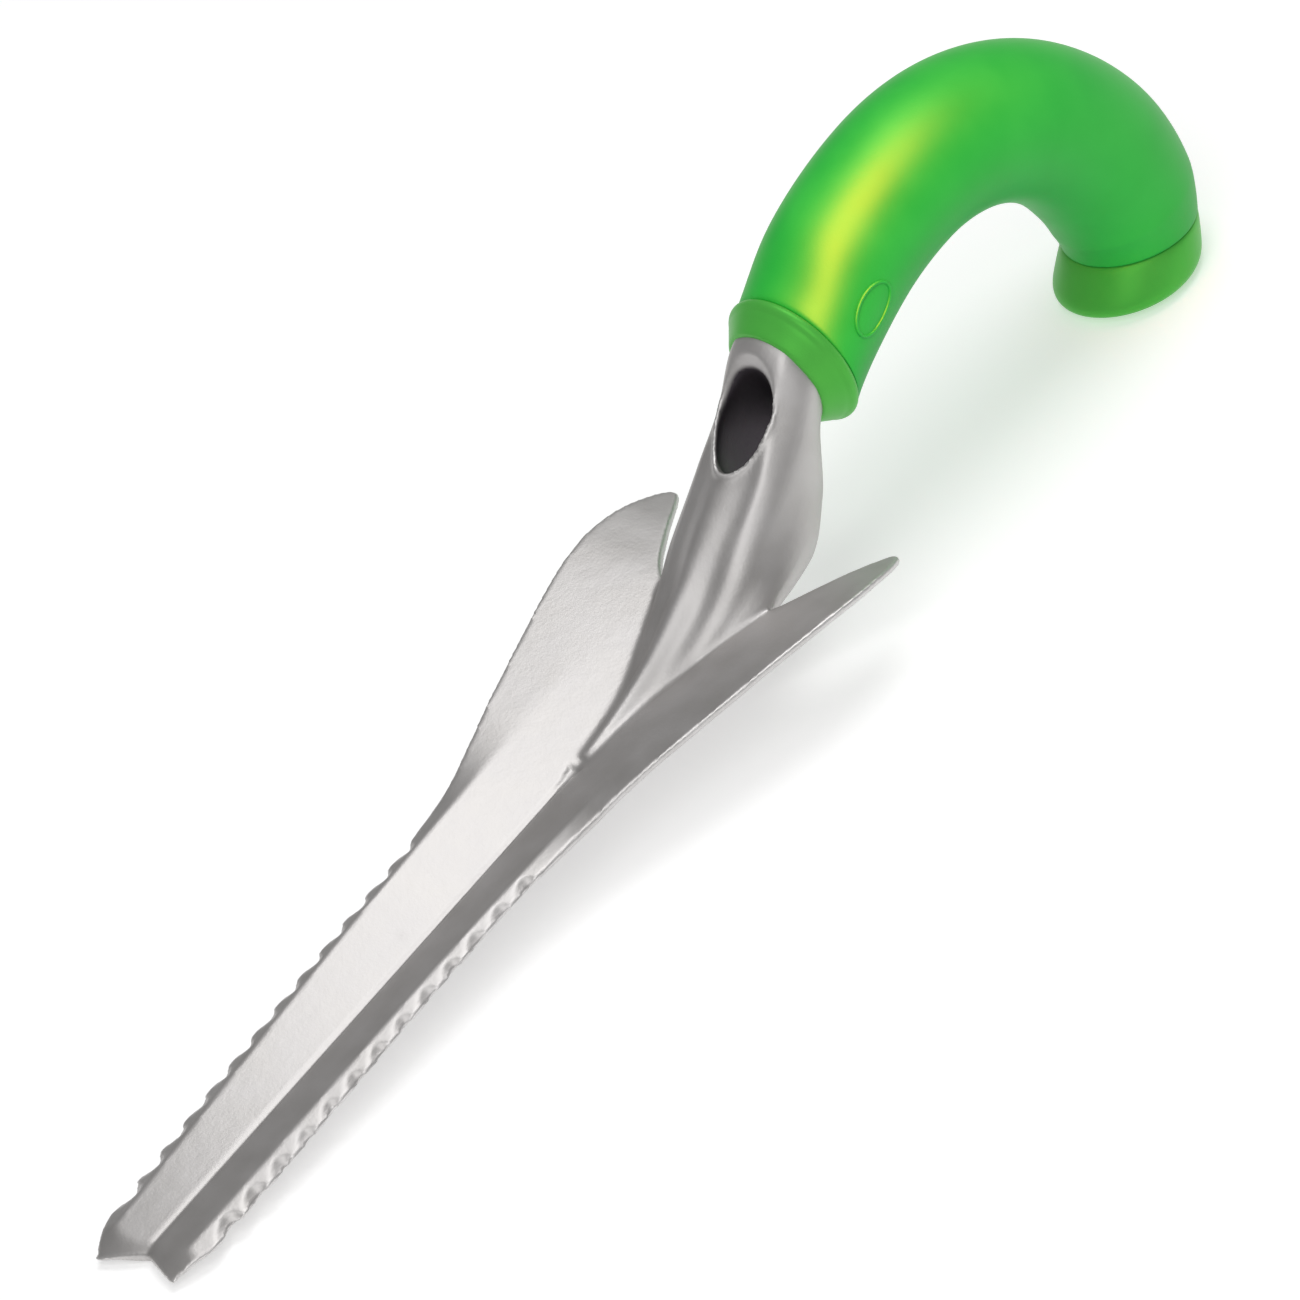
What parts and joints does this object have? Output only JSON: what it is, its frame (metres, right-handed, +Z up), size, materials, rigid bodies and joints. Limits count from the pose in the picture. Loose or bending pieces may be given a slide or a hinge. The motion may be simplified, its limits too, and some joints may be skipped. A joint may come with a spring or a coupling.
{
  "type": "hand weeder",
  "caption": "Hand weeder with a cast channelled blade, scalloped edges, leaf-shaped wings, an oval hang hole in its neck and a hooked soft grip.",
  "frame": {"origin": "middle of the bounding box's base, on the surface that the tool lies on", "axes": "+X along the tool from the tip to the handle, +Y across it, +Z up, out of the blade's channel"},
  "size_m": [0.3764, 0.0804, 0.0867],
  "materials": {
    "cast_aluminium": "polished casting with a fine as-cast texture",
    "collar_plastic": "satin moulded plastic",
    "core_plastic": "moulded plastic, hidden",
    "grip_rubber": "satin soft-touch elastomer",
    "pommel_plastic": "satin moulded plastic"
  },
  "bodies": {
    "root": {"blade": "cast_aluminium", "collar": "collar_plastic", "core_left": "core_plastic", "core_right": "core_plastic", "grip_sleeve": "grip_rubber", "pommel": "pommel_plastic"}
  },
  "joints": []
}
